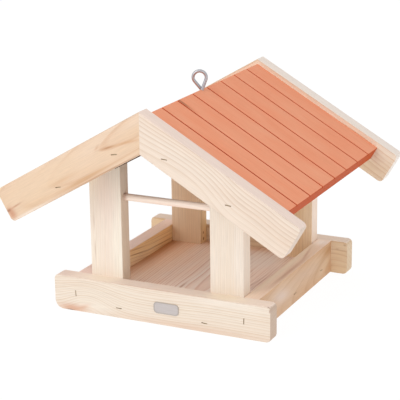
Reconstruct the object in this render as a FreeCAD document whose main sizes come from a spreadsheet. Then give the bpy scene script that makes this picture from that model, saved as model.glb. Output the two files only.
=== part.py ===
# Hanging bird table: a low board tray on which four posts carry a steep pitched roof.
# Every board is planed softwood. The roof hangs from a screw eye that goes in at the ridge.
# Frame: X runs along the front rail, Y from the front gable to the rear, Z up.
# The origin is on the underside of the tray, at its middle. Sizes are in millimetres.
import FreeCAD, Part
import math
import os
import Sketcher

from FreeCAD import Rotation, Vector

doc = FreeCAD.newDocument("BirdTable")

# Driving dimensions: name, value, meaning
SIZES = [
    # Tray
    ("front_rail_length", 265, "front and rear rails, which overhang the side rails"),
    ("tray_depth", 256, "outside of the front rail to outside of the rear rail"),
    ("tray_width", 224, "outside of the left rail to outside of the right rail"),
    ("rail_height", 40, "rails, bottom to top"),
    ("rail_thick", 18, "rails, through the board"),
    ("rail_corner", 4, "rounding of the overhanging rail ends"),
    ("floor_top", 19, "top of the floor board above the rails' underside"),
    ("floor_thick", 16, "floor board"),
    # Posts and perch
    ("post_width", 40, "posts, seen from the gable"),
    ("post_thick", 18, "posts, seen from the side"),
    ("perch_diameter", 8, "perch dowel"),
    ("perch_height", 133.5, "perch axis above the rails' underside"),
    ("perch_socket", 10, "depth of the blind hole in each front post"),
    ("perch_clearance", 0.1, "all round the dowel in its socket"),
    # Roof
    ("roof_pitch", 30, "slope of both roof panels, in degrees"),
    ("apex_height", 248, "top of the barge boards' mitre"),
    ("roof_depth", 328, "front face to rear face of the barge boards"),
    ("barge_length", 209, "barge board along its upper edge"),
    ("barge_width", 40, "barge board, square to the slope"),
    ("barge_thick", 18, "barge board, through the board"),
    ("barge_corner", 4, "rounding of the barge boards' lower ends"),
    ("panel_sink", 5.5, "roof panel's top below the barge board's upper edge"),
    ("panel_thick", 16, "roof panel"),
    ("panel_reach", 183, "apex to the eave, along the slope"),
    ("groove_width", 2, "grooves across each panel"),
    ("groove_depth", 2.5, "grooves below the panel's top"),
    ("groove_pitch", 37.4, "one groove to the next"),
    ("groove_first", 34.5, "front barge board to the middle of the first groove"),
    ("groove_count", 7, "grooves in each panel"),
    ("batten_width", 40, "battens under the panels, along the slope"),
    ("batten_thick", 18, "battens under the panels, square to the slope"),
    ("upper_batten_start", 30, "apex to the upper edge of the upper battens, along the slope"),
    ("lower_batten_start", 112, "apex to the upper edge of the lower battens, along the slope"),
    # Screw eye
    ("eye_wire", 3.8, "wire of the screw eye"),
    ("eye_ring", 7.5, "ring's radius to the middle of the wire"),
    ("eye_rise", 12.5, "ring's centre above the ridge"),
    ("eye_neck", 1, "where the ring's two strands meet, below the ridge"),
    ("eye_shank", 22, "shank below that meeting, with its point"),
    ("eye_point", 5, "tapered point of the shank"),
    ("eye_place", -13, "screw eye along the ridge, from the middle of the roof"),
    ("eye_turn_angle", 25, "ring's turn out of the gable's plane, in degrees"),
    ("eye_clearance", 0.05, "all round the wire in the ridge"),
    # Blank plate on the front rail
    ("plate_width", 30.5, "plate, left to right"),
    ("plate_height", 13, "plate, bottom to top"),
    ("plate_thick", 0.8, "plate, through the sheet"),
    ("plate_corner", 4, "rounding of the plate's corners"),
    ("plate_across", 9, "plate's middle from the middle of the front rail"),
    ("plate_up", 20, "plate's middle above the rails' underside"),
    # Finish of the boards
    ("edge_ease", 1, "easing of the boards' edges, as a rounding or a chamfer"),
]

sheet = doc.addObject("Spreadsheet::Sheet", "Sizes")
for row, (name, size, meaning) in enumerate(SIZES, start=1):
    sheet.set(f"A{row}", name)
    sheet.set(f"B{row}", str(size))
    sheet.setAlias(f"B{row}", name)
    sheet.set(f"C{row}", meaning)
doc.recompute()


def number(expression):
    """Value of an expression in the sheet's sizes."""
    return float(sheet.evalExpression(expression))


def size(name):
    """An expression that reads one size from the sheet."""
    return f"Sizes.{name}"


# Expressions that several pieces share
SIN = "sin(Sizes.roof_pitch)"
COS = "cos(Sizes.roof_pitch)"
INNER_X = "(Sizes.tray_width / 2 - Sizes.rail_thick)"
INNER_Y = "(Sizes.tray_depth / 2 - Sizes.rail_thick)"
POST_Y = "(Sizes.tray_depth / 2 - Sizes.rail_thick - Sizes.post_thick / 2)"
POST_INNER_X = "(Sizes.tray_width / 2 - Sizes.rail_thick - Sizes.post_width)"
PANEL_BOTTOM = "(Sizes.panel_sink + Sizes.panel_thick)"
BATTEN_BOTTOM = "(Sizes.panel_sink + Sizes.panel_thick + Sizes.batten_thick)"
BETWEEN_BARGES = "(Sizes.roof_depth - 2 * Sizes.barge_thick)"
RIDGE_Z = "(Sizes.apex_height - Sizes.panel_sink / cos(Sizes.roof_pitch))"
# The screw eye's strands run tangent to its ring and slant in to the shank
STRAND_SIN = "(Sizes.eye_ring / (Sizes.eye_rise + Sizes.eye_neck))"
STRAND_ANGLE = f"asin{STRAND_SIN}"
STRAND_TAN = f"tan({STRAND_ANGLE})"
STRAND_LENGTH = "sqrt((Sizes.eye_rise + Sizes.eye_neck) ^ 2 - Sizes.eye_ring ^ 2)"

SIDES = (("left", "-"), ("right", ""))
ENDS = (("front", "-"), ("rear", ""))

parts = []


def on_slope(side, run, depth):
    """Point of the gable's plane, from its run down the slope and its depth square to it."""
    across = f"{side}(({run}) * {COS} - ({depth}) * {SIN})"
    up = f"Sizes.apex_height - ({run}) * {SIN} - ({depth}) * {COS}"
    return across, up


def at_centre(depth):
    """Point of the gable's plane on its middle line, at a depth square to the slope."""
    return "0", f"Sizes.apex_height - ({depth}) / {COS}"


def under(side, across, depth):
    """Point of the gable's plane at a distance from its middle line, at a depth below the slope."""
    return f"{side}({across})", f"Sizes.apex_height - ({across}) * tan(Sizes.roof_pitch) - ({depth}) / {COS}"


def new_body(name):
    """An empty body, kept in the list of sub-parts that are written out."""
    body = doc.addObject("PartDesign::Body", name)
    body.Label = name
    parts.append(body)
    return body


def attach(body, item, plane):
    """Lays a sketch or primitive on one of the body's own origin planes."""
    found = [feature for feature in body.Origin.OriginFeatures if feature.Role == plane]
    item.AttachmentSupport = [(found[0], "")]
    item.MapMode = "FlatFace"


def new_sketch(body, name, plane, offset=None):
    """A sketch on an origin plane, moved along one of its own axes if an offset is given."""
    sketch = body.newObject("Sketcher::SketchObject", name)
    attach(body, sketch, plane)
    if offset:
        axis, expression = offset
        sketch.setExpression(f"AttachmentOffset.Base.{axis}", expression)
    return sketch


def pin_point(sketch, geometry, vertex, across, up):
    """Holds a sketch point at two expressions measured from the sketch's origin."""
    for kind, expression in (("DistanceX", across), ("DistanceY", up)):
        index = sketch.addConstraint(
            Sketcher.Constraint(kind, -1, 1, geometry, vertex, number(expression)))
        sketch.setExpression(f"Constraints[{index}]", expression)


def outline(sketch, corners):
    """A closed outline of straight lines through corners given as expressions."""
    places = [Vector(number(across), number(up), 0) for across, up in corners]
    first = sketch.GeometryCount
    count = len(corners)
    for index in range(count):
        sketch.addGeometry(Part.LineSegment(places[index], places[(index + 1) % count]))
    for index in range(count):
        following = first + (index + 1) % count
        sketch.addConstraint(Sketcher.Constraint("Coincident", first + index, 2, following, 1))
    for index, (across, up) in enumerate(corners):
        pin_point(sketch, first + index, 1, across, up)


def rectangle(sketch, low_x, high_x, low_y, high_y):
    """A closed rectangle between four expressions."""
    outline(sketch, [(low_x, low_y), (high_x, low_y), (high_x, high_y), (low_x, high_y)])


def circle(sketch, across, up, radius):
    """A circle with its centre and radius given as expressions."""
    centre = Vector(number(across), number(up), 0)
    index = sketch.addGeometry(Part.Circle(centre, Vector(0, 0, 1), number(radius)))
    pin_point(sketch, index, 3, across, up)
    held = sketch.addConstraint(Sketcher.Constraint("Radius", index, number(radius)))
    sketch.setExpression(f"Constraints[{held}]", radius)


def pad(body, sketch, length):
    """Thickens a sketch by the same amount to both sides of its plane."""
    feature = body.newObject("PartDesign::Pad", f"{body.Name}_board")
    feature.Profile = sketch
    feature.SideType = "Symmetric"
    feature.setExpression("Length", length)
    doc.recompute()
    return feature


def must_shrink(body, before):
    """Stops the build if a cut took nothing away."""
    doc.recompute()
    if not body.Shape.Volume < before - 0.01:
        raise RuntimeError(f"a cut in {body.Label} removed nothing")


def edges_of(body, chosen):
    """The body's latest feature with the names of the edges that the chosen test picks out."""
    base = body.Tip
    edges = [f"Edge{place}" for place, edge in enumerate(base.Shape.Edges, start=1) if chosen(edge)]
    if not edges:
        raise RuntimeError(f"no edge found in {body.Label}")
    return base, edges


def fillet(body, name, chosen, radius):
    """Rounds the edges that the chosen test picks out."""
    base = edges_of(body, chosen)
    feature = body.newObject("PartDesign::Fillet", f"{body.Name}_{name}")
    feature.Base = base
    feature.setExpression("Radius", radius)
    doc.recompute()


def chamfer(body, name, chosen, width):
    """Cuts a narrow flat along the edges that the chosen test picks out."""
    base = edges_of(body, chosen)
    feature = body.newObject("PartDesign::Chamfer", f"{body.Name}_{name}")
    feature.Base = base
    feature.setExpression("Size", width)
    doc.recompute()


def place(part, **where):
    """Binds the part's position to expressions, by axis."""
    for axis, expression in where.items():
        part.setExpression(f"Placement.Base.{axis}", expression)


def runs_along(direction):
    """Test for the straight edges that run along a direction."""
    def chosen(edge):
        if edge.Curve.TypeId != "Part::GeomLine":
            return False
        return abs(edge.tangentAt(edge.FirstParameter).dot(direction)) > 0.999
    return chosen


def rims_of_faces(body):
    """Test for the edges round the board's front face and round its rear face."""
    box = body.Tip.Shape.BoundBox

    def chosen(edge):
        for level in (box.YMin, box.YMax):
            if all(abs(vertex.Point.y - level) < 0.001 for vertex in edge.Vertexes):
                return True
        return False
    return chosen


# Tray: the front and rear rails run past the side rails, and their end corners are rounded
def cross_rail(end, sign):
    body = new_body(f"{end}_rail")
    sketch = new_sketch(body, f"{end}_rail_outline", "XZ_Plane")
    half = "Sizes.front_rail_length / 2"
    rectangle(sketch, f"-{half}", half, "0", size("rail_height"))
    pad(body, sketch, size("rail_thick"))
    fillet(body, "corners", runs_along(Vector(0, 1, 0)), size("rail_corner"))
    chamfer(body, "edges", rims_of_faces(body), size("edge_ease"))
    place(body, y=f"{sign}(Sizes.tray_depth - Sizes.rail_thick) / 2")


# Tray: the side rails stand between the front and rear rails
def side_rail(side, sign):
    body = new_body(f"{side}_rail")
    sketch = new_sketch(body, f"{side}_rail_outline", "YZ_Plane")
    rectangle(sketch, f"-{INNER_Y}", INNER_Y, "0", size("rail_height"))
    pad(body, sketch, size("rail_thick"))
    fillet(body, "edges", runs_along(Vector(0, 1, 0)), size("edge_ease"))
    place(body, x=f"{sign}(Sizes.tray_width - Sizes.rail_thick) / 2")


# Tray: the floor board fills the space between the rails
def floor_board():
    body = new_body("floor_board")
    sketch = new_sketch(body, "floor_outline", "XY_Plane")
    rectangle(sketch, f"-{INNER_X}", INNER_X, f"-{INNER_Y}", INNER_Y)
    pad(body, sketch, size("floor_thick"))
    place(body, z="Sizes.floor_top - Sizes.floor_thick / 2")


# Posts: they stand on the floor in the tray's corners, cut off under the lower battens
def post(end, side, end_sign, side_sign):
    body = new_body(f"post_{end}_{side}")
    sketch = new_sketch(body, f"{body.Name}_outline", "XZ_Plane")
    outline(sketch, [
        (f"{side_sign}{POST_INNER_X}", size("floor_top")),
        (f"{side_sign}{INNER_X}", size("floor_top")),
        under(side_sign, INNER_X, BATTEN_BOTTOM),
        under(side_sign, POST_INNER_X, BATTEN_BOTTOM),
    ])
    pad(body, sketch, size("post_thick"))
    fillet(body, "edges", runs_along(Vector(0, 0, 1)), size("edge_ease"))
    if end == "front":
        perch_socket(body, side_sign)
    place(body, y=f"{end_sign}{POST_Y}")


# Blind hole for the perch, from the post's inner face
def perch_socket(body, side_sign):
    before = body.Shape.Volume
    middle = f"{side_sign}({POST_INNER_X} + Sizes.perch_socket / 2)"
    sketch = new_sketch(body, f"{body.Name}_socket_outline", "YZ_Plane", ("z", middle))
    circle(sketch, "0", size("perch_height"), "Sizes.perch_diameter / 2 + Sizes.perch_clearance")
    hole = body.newObject("PartDesign::Pocket", f"{body.Name}_socket")
    hole.Profile = sketch
    hole.SideType = "Symmetric"
    hole.setExpression("Length", size("perch_socket"))
    must_shrink(body, before)


# Perch: a dowel between the front posts, held by its ends in their sockets
def perch_dowel():
    dowel = doc.addObject("Part::Cylinder", "perch_dowel")
    dowel.Label = "perch_dowel"
    dowel.setExpression("Radius", "Sizes.perch_diameter / 2")
    dowel.setExpression("Height", f"2 * ({POST_INNER_X} + Sizes.perch_socket)")
    dowel.Placement = FreeCAD.Placement(Vector(0, 0, 0), Rotation(Vector(0, 1, 0), 90))
    place(dowel, x=f"-({POST_INNER_X} + Sizes.perch_socket)", y=f"-{POST_Y}", z=size("perch_height"))
    parts.append(dowel)


# Roof: battens lie flat under the panels, from barge board to barge board
def batten(level, side, sign):
    body = new_body(f"batten_{level}_{side}")
    sketch = new_sketch(body, f"{body.Name}_outline", "XZ_Plane")
    start = f"Sizes.{level}_batten_start"
    finish = f"{start} + Sizes.batten_width"
    outline(sketch, [
        on_slope(sign, start, PANEL_BOTTOM),
        on_slope(sign, finish, PANEL_BOTTOM),
        on_slope(sign, finish, BATTEN_BOTTOM),
        on_slope(sign, start, BATTEN_BOTTOM),
    ])
    pad(body, sketch, BETWEEN_BARGES)
    fillet(body, "edges", runs_along(Vector(0, 1, 0)), size("edge_ease"))


# Roof: a grooved panel on each slope, mitred at the ridge
def roof_panel(side, sign):
    body = new_body(f"roof_panel_{side}")
    sketch = new_sketch(body, f"{body.Name}_outline", "XZ_Plane")
    outline(sketch, [
        at_centre(size("panel_sink")),
        on_slope(sign, size("panel_reach"), size("panel_sink")),
        on_slope(sign, size("panel_reach"), PANEL_BOTTOM),
        at_centre(PANEL_BOTTOM),
    ])
    pad(body, sketch, BETWEEN_BARGES)
    panel_grooves(body, sign)
    eye_hole(body)


# Grooves from the ridge to the eave, at a steady pitch from front to rear
def panel_grooves(body, sign):
    before = body.Shape.Volume
    # The sketch's own depth axis points to the front
    first = f"{BETWEEN_BARGES} / 2 - Sizes.groove_first"
    sketch = new_sketch(body, f"{body.Name}_groove_outline", "XZ_Plane", ("z", first))
    floor = "Sizes.panel_sink + Sizes.groove_depth"
    outline(sketch, [
        at_centre(size("panel_sink")),
        on_slope(sign, size("panel_reach"), size("panel_sink")),
        on_slope(sign, size("panel_reach"), floor),
        at_centre(floor),
    ])
    groove = body.newObject("PartDesign::Pocket", f"{body.Name}_groove")
    groove.Profile = sketch
    groove.SideType = "Symmetric"
    groove.setExpression("Length", size("groove_width"))
    must_shrink(body, before)
    after_one = body.Shape.Volume
    row_of = body.newObject("PartDesign::LinearPattern", f"{body.Name}_grooves")
    row_of.Originals = [groove]
    row_of.Direction = (sketch, ["N_Axis"])
    row_of.Reversed = True
    row_of.setExpression("Length", "(Sizes.groove_count - 1) * Sizes.groove_pitch")
    row_of.setExpression("Occurrences", size("groove_count"))
    body.Tip = row_of
    must_shrink(body, after_one)


# Pilot hole for the screw eye in the mitre at the ridge, opened out where its two strands go in
def eye_hole(body):
    before = body.Shape.Volume
    sketch = new_sketch(body, f"{body.Name}_eye_outline", "YZ_Plane", ("x", size("eye_place")))
    bore = "Sizes.eye_wire / 2 + Sizes.eye_clearance"
    # At the ridge a strand's outer side stands this far out, and it closes in at its own slant
    reach = f"(Sizes.eye_neck + Sizes.eye_wire / 2 / {STRAND_SIN}) * {STRAND_TAN} + Sizes.eye_clearance"
    shut = f"({reach} - ({bore})) / {STRAND_TAN}"
    above = "Sizes.eye_wire"
    below = "Sizes.panel_thick * 2"
    outline(sketch, [
        ("0", f"{RIDGE_Z} + {above}"),
        (f"{reach} + {above} * {STRAND_TAN}", f"{RIDGE_Z} + {above}"),
        (bore, f"{RIDGE_Z} - ({shut})"),
        (bore, f"{RIDGE_Z} - {below}"),
        ("0", f"{RIDGE_Z} - {below}"),
    ])
    hole = body.newObject("PartDesign::Groove", f"{body.Name}_eye_hole")
    hole.Profile = sketch
    hole.ReferenceAxis = (sketch, ["V_Axis"])
    hole.Angle = 360
    must_shrink(body, before)


# Roof: barge boards stand above the panels and close their ends, mitred at the apex
def barge_board(end, side, end_sign, side_sign):
    body = new_body(f"barge_{end}_{side}")
    sketch = new_sketch(body, f"{body.Name}_outline", "XZ_Plane")
    outline(sketch, [
        at_centre("0"),
        on_slope(side_sign, size("barge_length"), "0"),
        on_slope(side_sign, size("barge_length"), size("barge_width")),
        at_centre(size("barge_width")),
    ])
    pad(body, sketch, size("barge_thick"))

    def lower_end(edge):
        return runs_along(Vector(0, 1, 0))(edge) and abs(edge.Vertexes[0].Point.x) > 1
    fillet(body, "corners", lower_end, size("barge_corner"))
    rims = rims_of_faces(body)

    def away_from_mitre(edge):
        return rims(edge) and not all(abs(vertex.Point.x) < 0.001 for vertex in edge.Vertexes)
    chamfer(body, "edges", away_from_mitre, size("edge_ease"))
    place(body, y=f"{end_sign}(Sizes.roof_depth - Sizes.barge_thick) / 2")


# Screw eye: a ring whose strands run down tangent to it and meet in the shank
def screw_eye():
    body = new_body("eye_screw")
    ring_sketch = new_sketch(body, "eye_ring_outline", "YZ_Plane")
    circle(ring_sketch, "0", "Sizes.eye_rise + Sizes.eye_ring", "Sizes.eye_wire / 2")
    level = number(size("eye_rise"))
    reach = number(size("eye_ring"))
    axis = ring_sketch.addGeometry(Part.LineSegment(Vector(0, level, 0), Vector(reach, level, 0)), True)
    pin_point(ring_sketch, axis, 1, "0", size("eye_rise"))
    pin_point(ring_sketch, axis, 2, size("eye_ring"), size("eye_rise"))
    ring = body.newObject("PartDesign::Revolution", "eye_ring")
    ring.Profile = ring_sketch
    ring.ReferenceAxis = (ring_sketch, ["Axis0"])
    ring.Midplane = True
    ring.setExpression("Angle", f"180 deg + 2 * {STRAND_ANGLE}")
    doc.recompute()
    for side, sign in SIDES:
        strand = body.newObject("PartDesign::AdditiveCylinder", f"eye_strand_{side}")
        attach(body, strand, "XY_Plane")
        strand.setExpression("Radius", "Sizes.eye_wire / 2")
        strand.setExpression("Height", STRAND_LENGTH)
        strand.AttachmentOffset = FreeCAD.Placement(Vector(0, 0, 0), Rotation(Vector(0, 1, 0), 30))
        strand.setExpression("AttachmentOffset.Rotation.Angle", f"{sign}{STRAND_ANGLE}")
        strand.setExpression("AttachmentOffset.Base.z", "-Sizes.eye_neck")
        doc.recompute()
    shank_sketch = new_sketch(body, "eye_shank_outline", "YZ_Plane")
    radius = "Sizes.eye_wire / 2"
    top = "-Sizes.eye_neck"
    bottom = "-(Sizes.eye_neck + Sizes.eye_shank)"
    outline(shank_sketch, [
        ("0", top),
        (radius, top),
        (radius, f"{bottom} + Sizes.eye_point"),
        ("0", bottom),
    ])
    shank = body.newObject("PartDesign::Revolution", "eye_shank")
    shank.Profile = shank_sketch
    shank.ReferenceAxis = (shank_sketch, ["V_Axis"])
    shank.Angle = 360
    doc.recompute()
    body.Placement = FreeCAD.Placement(Vector(0, 0, 0), Rotation(Vector(0, 0, 1), 10))
    body.setExpression("Placement.Rotation.Angle", size("eye_turn_angle"))
    place(body, y=size("eye_place"), z=RIDGE_Z)


# A small blank plate on the front rail
def front_plate():
    body = new_body("front_plate")
    sketch = new_sketch(body, "plate_outline", "XZ_Plane")
    wide = "Sizes.plate_width / 2"
    high = "Sizes.plate_height / 2"
    rectangle(sketch, f"-{wide}", wide, f"-{high}", high)
    pad(body, sketch, size("plate_thick"))
    fillet(body, "corners", runs_along(Vector(0, 1, 0)), size("plate_corner"))
    place(body,
          x=size("plate_across"),
          y="-(Sizes.tray_depth + Sizes.plate_thick) / 2",
          z=size("plate_up"))


for end, end_sign in ENDS:
    cross_rail(end, end_sign)
for side, side_sign in SIDES:
    side_rail(side, side_sign)
floor_board()
for end, end_sign in ENDS:
    for side, side_sign in SIDES:
        post(end, side, end_sign, side_sign)
perch_dowel()
for side, side_sign in SIDES:
    batten("upper", side, side_sign)
    batten("lower", side, side_sign)
    roof_panel(side, side_sign)
for end, end_sign in ENDS:
    for side, side_sign in SIDES:
        barge_board(end, side, end_sign, side_sign)
screw_eye()
front_plate()
doc.recompute()

# Nothing is written unless every object worked out
for item in doc.Objects:
    if "Invalid" in item.State or "Error" in item.State:
        raise RuntimeError(f"{item.Label} failed: {item.State}")
for part in parts:
    if part.Shape.isNull() or not part.Shape.isValid() or len(part.Shape.Solids) != 1:
        raise RuntimeError(f"{part.Label} is not one sound solid")

os.makedirs("parts", exist_ok=True)
for part in parts:
    part.Shape.exportStep(f"parts/{part.Label}.step")
    print(part.Label, round(part.Shape.Volume), "mm3")
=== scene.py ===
import math
from collections import namedtuple

import bmesh
import bpy
from mathutils import Matrix, Vector


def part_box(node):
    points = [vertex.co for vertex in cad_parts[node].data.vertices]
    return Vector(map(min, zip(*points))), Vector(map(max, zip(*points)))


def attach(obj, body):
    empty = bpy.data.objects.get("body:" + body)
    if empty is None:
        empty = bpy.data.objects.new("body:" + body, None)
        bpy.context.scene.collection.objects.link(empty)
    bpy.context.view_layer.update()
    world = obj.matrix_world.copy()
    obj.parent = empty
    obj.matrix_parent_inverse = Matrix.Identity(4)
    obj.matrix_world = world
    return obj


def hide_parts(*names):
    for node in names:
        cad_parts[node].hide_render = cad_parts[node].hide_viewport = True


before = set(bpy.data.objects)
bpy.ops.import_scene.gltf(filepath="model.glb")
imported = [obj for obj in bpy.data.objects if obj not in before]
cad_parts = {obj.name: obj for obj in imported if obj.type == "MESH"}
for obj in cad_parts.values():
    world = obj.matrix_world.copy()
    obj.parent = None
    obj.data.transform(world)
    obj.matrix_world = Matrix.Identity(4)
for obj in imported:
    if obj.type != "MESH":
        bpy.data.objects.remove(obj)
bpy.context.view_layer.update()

MM = 0.001

# Sizes in millimetres that the CAD boxes don't give
PITCH = math.radians(30)
APEX = 248
ROOF_DEPTH = 328
BARGE_LENGTH, BARGE_WIDTH, BARGE_THICK, BARGE_CORNER = 209, 40, 18, 4
BETWEEN_BARGES = ROOF_DEPTH - 2 * BARGE_THICK
PANEL_SINK, PANEL_THICK, PANEL_REACH = 5.5, 16, 183
GROOVE_COUNT, GROOVE_FIRST, GROOVE_PITCH = 7, 34.5, 37.4
BATTEN_WIDTH, BATTEN_THICK = 40, 18
BATTEN_STARTS = {"upper": 30, "lower": 112}
RAIL_CORNER = 4
WANE = 9  # the corner where the front rail touched the bark
ROUGH_FACE = 1  # what the saw left on the upper battens
EASE, FLOOR_EASE = 1, 0.6  # the boards' broken edges
SAME = 1e-4  # places nearer than this to each other are taken as one

SIN, COS = math.sin(PITCH), math.cos(PITCH)
BACKWARD, UP, ACROSS = Vector((0, 1, 0)), Vector((0, 0, 1)), Vector((1, 0, 0))


# Working helpers

def linear(colour):
    """Linear RGBA of an sRGB hex colour."""
    shares = [int(colour[at:at + 2], 16) / 255 for at in (1, 3, 5)]
    return [s / 12.92 if s <= 0.04045 else ((s + 0.055) / 1.055) ** 2.4 for s in shares] + [1]


def add(tree, kind, inputs=None, **settings):
    """Adds a node with its settings, its input values and the links that feed it.
    A node that is given as a value stands for its first output."""
    node = tree.nodes.new(kind)
    for name, value in settings.items():
        setattr(node, name, value)
    for socket, value in (inputs or {}).items():
        if isinstance(value, bpy.types.Node):
            value = value.outputs[0]
        if isinstance(value, bpy.types.NodeSocket):
            tree.links.new(value, node.inputs[socket])
        else:
            node.inputs[socket].default_value = value
    return node


def bare_material(name):
    """A new material and its node tree, with nothing in it yet."""
    material = bpy.data.materials.new(name)
    material.use_nodes = True
    material.node_tree.nodes.clear()
    return material, material.node_tree


def box_mm(node):
    """Lowest and highest corner of a CAD node, in millimetres."""
    low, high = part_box(node)
    return low / MM, high / MM


def middle_of(node):
    """The middle of a CAD node's box, in millimetres."""
    low, high = box_mm(node)
    return (low + high) / 2


def down_slope(side):
    """Direction from the ridge to the eave on one side of the roof."""
    return Vector((COS if side == "right" else -COS, 0, -SIN))


def off_slope(side):
    """Direction square to one slope of the roof, outwards."""
    return Vector((SIN if side == "right" else -SIN, 0, COS))


def on_gable(side, run, depth, y):
    """A point by its run down the slope from the apex and its depth below the barge boards' upper edge."""
    return Vector((0, y, APEX)) + down_slope(side) * run - off_slope(side) * depth


def rounded(corners, steps=8):
    """Outline points with the corners that have a radius rounded. A corner is (across, up, radius)."""
    points = []
    count = len(corners)
    for index, (x, y, radius) in enumerate(corners):
        here = Vector((x, y))
        if not radius:
            points.append(here)
            continue
        before = (Vector(corners[index - 1][:2]) - here).normalized()
        after = (Vector(corners[(index + 1) % count][:2]) - here).normalized()
        half = before.angle(after) / 2
        middle = here + (before + after).normalized() * (radius / math.sin(half))
        reach = radius / math.tan(half)
        start = here + before * reach - middle
        turn = start.angle_signed(here + after * reach - middle)
        for step in range(steps + 1):
            points.append(middle + Matrix.Rotation(-turn * step / steps, 2) @ start)
    return points


def prism(name, outline, thick, middle, across, up, eased=None, ease=EASE, steps=3):
    """A board: an outline in the plane of across and up, with its thickness shared about that plane.
    eased picks, by their end points in the plane and side, the edges that are rounded over.
    Without it they all stay sharp."""
    out = across.cross(up)
    shape = bmesh.new()
    rings = []
    for side in (-1, 1):
        rings.append([shape.verts.new((p.x, p.y, side * thick / 2)) for p in outline])
    count = len(outline)
    for index in range(count):
        following = (index + 1) % count
        shape.faces.new((rings[0][index], rings[0][following], rings[1][following], rings[1][index]))
    shape.faces.new(reversed(rings[0]))
    shape.faces.new(rings[1])
    picked = [edge for edge in shape.edges if eased and eased(*[vert.co for vert in edge.verts])]
    if picked:
        bmesh.ops.bevel(shape, geom=picked, offset=ease, offset_type="OFFSET", segments=steps,
                        profile=0.5, affect="EDGES")
    bmesh.ops.recalc_face_normals(shape, faces=shape.faces)
    turn = Matrix((across, up, out)).transposed().to_4x4()
    shape.transform(Matrix.Scale(MM, 4) @ Matrix.Translation(middle) @ turn)
    return finished(name, shape)


def finished(name, shape):
    """Turns worked geometry into an object that stands in the scene."""
    mesh = bpy.data.meshes.new(name)
    shape.to_mesh(mesh)
    shape.free()
    piece = bpy.data.objects.new(name, mesh)
    bpy.context.scene.collection.objects.link(piece)
    return piece


def settle(piece):
    """Replaces a piece's mesh by what its modifiers make of it, and clears them."""
    seen = piece.evaluated_get(bpy.context.evaluated_depsgraph_get())
    mesh = bpy.data.meshes.new_from_object(seen)
    piece.modifiers.clear()
    piece.data = mesh
    mesh.name = piece.name
    return piece


def smooth(piece, angle=35):
    """Smooth shading over the eased edges, with the flat faces kept flat."""
    mesh = piece.data
    mesh.polygons.foreach_set("use_smooth", [True] * len(mesh.polygons))
    mesh.set_sharp_from_angle(angle=math.radians(angle))
    even = piece.modifiers.new("Flat faces", "WEIGHTED_NORMAL")
    even.keep_sharp = True
    return settle(piece)


def dress(piece, material, slot, *nodes):
    """Gives a finished piece its material, its place in the frame and the CAD nodes it stands for."""
    if not piece.data.materials:
        piece.data.materials.append(material)
    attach(piece, "root")
    if nodes:
        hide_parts(*nodes)


# Wood. A board's own frame is in millimetres: x with the grain, y across the face, z through the board.

def board_frame(tree, middle, along, across):
    """Object coordinates turned into a board's own frame."""
    rows = Matrix((along, across, along.cross(across)))
    return add(tree, "ShaderNodeMapping", {
        "Vector": add(tree, "ShaderNodeTexCoord").outputs["Object"],
        "Location": -(rows @ Vector(middle)),
        "Rotation": rows.to_euler(),
        "Scale": (1 / MM, 1 / MM, 1 / MM),
    })


def spot(tree, board, x, y, reach_x, reach_y, turn=0):
    """Distance from a place on the board's face, 1 at the edge of an ellipse with that reach."""
    moved = add(tree, "ShaderNodeVectorMath", {0: board, 1: (x, y, 0)}, operation="SUBTRACT")
    turned = add(tree, "ShaderNodeVectorRotate", {"Vector": moved, "Angle": -math.radians(turn)},
                 rotation_type="Z_AXIS")
    shrunk = add(tree, "ShaderNodeVectorMath", {0: turned, 1: (1 / reach_x, 1 / reach_y, 0)},
                 operation="MULTIPLY")
    return add(tree, "ShaderNodeVectorMath", {0: shrunk}, operation="LENGTH").outputs["Value"]


def fade(tree, distance, strength):
    """A soft hill over that distance: strength at the middle, near nothing past twice the reach."""
    squared = add(tree, "ShaderNodeMath", {0: distance, 1: 2.0}, operation="POWER")
    fallen = add(tree, "ShaderNodeMath", {0: squared, 1: -1.0}, operation="MULTIPLY")
    hill = add(tree, "ShaderNodeMath", {0: fallen}, operation="EXPONENT")
    return add(tree, "ShaderNodeMath", {0: hill, 1: strength}, operation="MULTIPLY")


def facing_share(tree, facing, direction, start, full, share=1.0):
    """0 to share, as a face turns to look along a direction or against it."""
    slant = add(tree, "ShaderNodeVectorMath", {0: facing, 1: direction}, operation="DOT_PRODUCT")
    either = add(tree, "ShaderNodeMath", {0: slant.outputs["Value"]}, operation="ABSOLUTE")
    return add(tree, "ShaderNodeMapRange", {
        "Value": either, "From Min": start, "From Max": full, "To Max": share})


def set_stops(node, stops):
    """Gives a colour ramp its stops. A stop is (place from 0 to 1, linear colour)."""
    elements = node.color_ramp.elements
    elements.remove(elements[1])
    elements[0].position, elements[0].color = stops[0]
    for at, colour in stops[1:]:
        elements.new(at).color = colour


def paint(tree, base, layers):
    """Lays colours over a base in turn. A layer is (share of what lies below that it hides, colour).
    A colour is a hex colour, or comes from another node."""
    for share, colour in layers:
        below, above = [linear(shade) if isinstance(shade, str) else shade for shade in (base, colour)]
        base = add(tree, "ShaderNodeMix", {0: share, 6: below, 7: above}, data_type="RGBA").outputs[2]
    return base


def streaked(tree, colour, fine, darkest, lightest):
    """A colour made a little darker and lighter by the fibres."""
    streaks = add(tree, "ShaderNodeMapRange", {
        "Value": fine, "From Min": 0.3, "From Max": 0.7, "To Min": darkest, "To Max": lightest})
    return add(tree, "ShaderNodeMix", {0: 1.0, 6: colour, 7: streaks}, data_type="RGBA",
               blend_type="MULTIPLY").outputs[2]


# How far good and poor years move the rings, in ring widths, and how much paler the palest late wood is
YEARS_MOVE, YEARS_PALE = 1.6, 0.55


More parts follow.
